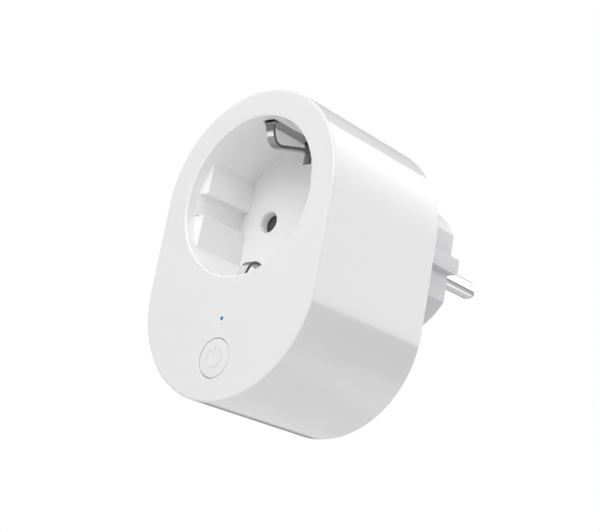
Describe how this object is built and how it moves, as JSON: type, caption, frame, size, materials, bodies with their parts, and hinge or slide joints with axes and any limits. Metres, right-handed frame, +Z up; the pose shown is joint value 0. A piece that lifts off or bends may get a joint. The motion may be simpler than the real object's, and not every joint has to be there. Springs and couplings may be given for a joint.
{
  "type": "smart plug",
  "caption": "Earthed smart plug adapter: white oval body with a recessed socket in front, a push button and status light below it, and a round-pin plug on the back.",
  "frame": {"origin": "midway between the two plug pins, on the rib face that they stand on", "axes": "+Y along the pins into the wall, +Z up with the socket above the button, +X to the right as seen from the front"},
  "size_m": [0.054, 0.08, 0.077],
  "materials": {
    "shell": "glossy moulded white",
    "cover": "satin moulded white",
    "insert": "glossy moulded white",
    "button": "glossy moulded white",
    "light_pipe": "clear window lit blue",
    "black_plastic": "moulded black",
    "plunger": "moulded",
    "led_body": "clear epoxy",
    "board": "solder mask",
    "radio_board": "solder mask",
    "zinc_screw": "zinc plated",
    "tinned_steel": "tinned",
    "insulation": "pressed sheet",
    "shutter": "moulded grey",
    "spring_steel": "drawn wire",
    "carrier": "moulded thermoset",
    "brass": "stamped brass",
    "earth_clip": "nickel-plated spring strip",
    "nickel_pin": "turned and nickel plated",
    "relay_blue": "moulded case",
    "copper": "copper winding and strip",
    "soft_iron": "stamped",
    "ferrite": "ferrite core with taped winding",
    "yellow_case": "filled box",
    "can_sleeve": "sleeved can",
    "varistor_blue": "dipped disc",
    "fuse_body": "ceramic tube"
  },
  "bodies": {
    "housing": {"front_shell": "shell", "socket_insert": "insert", "light_pipe": "light_pipe", "switch_body": "black_plastic", "status_led": "led_body", "control_board": "board", "board_screws": "zinc_screw", "radio_module": "radio_board", "radio_shield": "tinned_steel", "metering_chip": "black_plastic", "board_header": "black_plastic", "insulation_sheet": "insulation", "shutter_spring": "spring_steel", "contact_carrier": "carrier", "left_socket_contact": "brass", "right_socket_contact": "brass", "power_board": "board", "relay_case": "relay_blue", "relay_coil": "copper", "transformer": "ferrite", "film_capacitor": "yellow_case", "bulk_capacitor": "can_sleeve", "varistor": "varistor_blue", "fuse": "fuse_body", "bridge_rectifier": "black_plastic", "current_shunt": "copper", "neutral_busbar": "brass", "live_busbar_in": "brass", "live_busbar_out": "brass", "earth_bracket": "earth_clip", "upper_plug_earth": "earth_clip", "lower_plug_earth": "earth_clip", "pin_carrier": "carrier", "left_plug_pin": "nickel_pin", "right_plug_pin": "nickel_pin", "rear_cover": "cover", "cover_screws": "zinc_screw"},
    "button": {"button_cap": "button"},
    "switch_plunger": {"switch_plunger": "plunger"},
    "shutter": {"shutter": "shutter"},
    "upper_earth_clip": {"upper_earth_clip": "earth_clip"},
    "lower_earth_clip": {"lower_earth_clip": "earth_clip"},
    "relay_armature": {"relay_armature": "soft_iron"}
  },
  "joints": [
    {"name": "button_press", "type": "slide", "parent": "housing", "child": "button", "axis": [0, 1, 0], "range_m": [0, 0.0005], "stiffness_N_per_m": 1500, "springref_m": -0.0002},
    {"name": "switch_travel", "type": "slide", "parent": "housing", "child": "switch_plunger", "axis": [0, 1, 0], "range_m": [0, 0.0005]},
    {"name": "shutter_slide", "type": "slide", "parent": "housing", "child": "shutter", "axis": [0, 0, -1], "range_m": [0, 0.0062], "stiffness_N_per_m": 60, "springref_m": -0.004, "deforming": ["shutter_spring"]},
    {"name": "upper_clip_flex", "type": "hinge", "parent": "housing", "child": "upper_earth_clip", "pos_m": [0, -0.043, 0.0198], "axis": [-1, 0, 0], "range_deg": [0, 7], "stiffness_Nm_per_rad": 0.5},
    {"name": "lower_clip_flex", "type": "hinge", "parent": "housing", "child": "lower_earth_clip", "pos_m": [0, -0.043, -0.0198], "axis": [1, 0, 0], "range_deg": [0, 7], "stiffness_Nm_per_rad": 0.5},
    {"name": "armature_pull", "type": "hinge", "parent": "housing", "child": "relay_armature", "pos_m": [-0.0096, -0.0446, -0.03], "axis": [0, 0, -1], "range_deg": [0, 3], "stiffness_Nm_per_rad": 0.05, "springref_deg": -2.86}
  ],
  "couplings": [
    {"joint": "switch_travel", "follows": "button_press", "ratio": 1}
  ]
}
